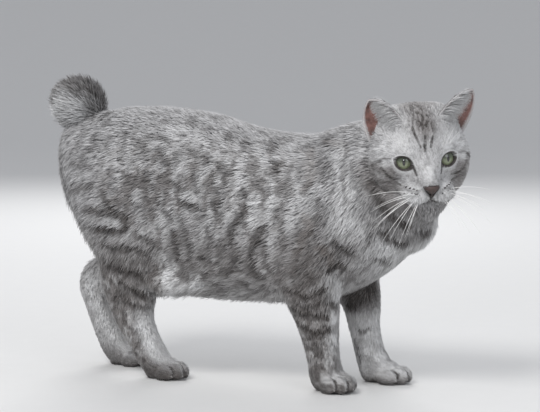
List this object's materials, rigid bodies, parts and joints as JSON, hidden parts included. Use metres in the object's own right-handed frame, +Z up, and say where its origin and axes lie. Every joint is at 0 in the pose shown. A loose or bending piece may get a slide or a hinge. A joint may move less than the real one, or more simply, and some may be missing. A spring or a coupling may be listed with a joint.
{
  "type": "short-tailed cat figure",
  "caption": "Life-size standing cat with a short raised tuft of a tail and its head turned to its right, a still model parted into named body parts",
  "frame": {"origin": "on the floor under the middle of the bounding box", "axes": "+X from rump to chest along the body, +Y to the cat's left, +Z up; the head is turned about 60 degrees towards -Y"},
  "size_m": [0.5037, 0.1627, 0.3277],
  "materials": {
    "coat_silver": "short plush coat",
    "ear": "thin short fur over skin",
    "eye": "wet gloss",
    "nose_leather": "soft damp skin"
  },
  "bodies": {
    "root": {"torso": "coat_silver", "neck": "coat_silver", "head": "coat_silver", "muzzle": "coat_silver", "tail": "coat_silver", "upper_arm_right": "coat_silver", "forearm_right": "coat_silver", "forepaw_right": "coat_silver", "thigh_right": "coat_silver", "shank_right": "coat_silver", "hindpaw_right": "coat_silver", "upper_arm_left": "coat_silver", "forearm_left": "coat_silver", "forepaw_left": "coat_silver", "thigh_left": "coat_silver", "shank_left": "coat_silver", "hindpaw_left": "coat_silver", "ear_left": "ear", "ear_right": "ear", "eye_left": "eye", "eye_right": "eye", "nose": "nose_leather"}
  },
  "joints": []
}
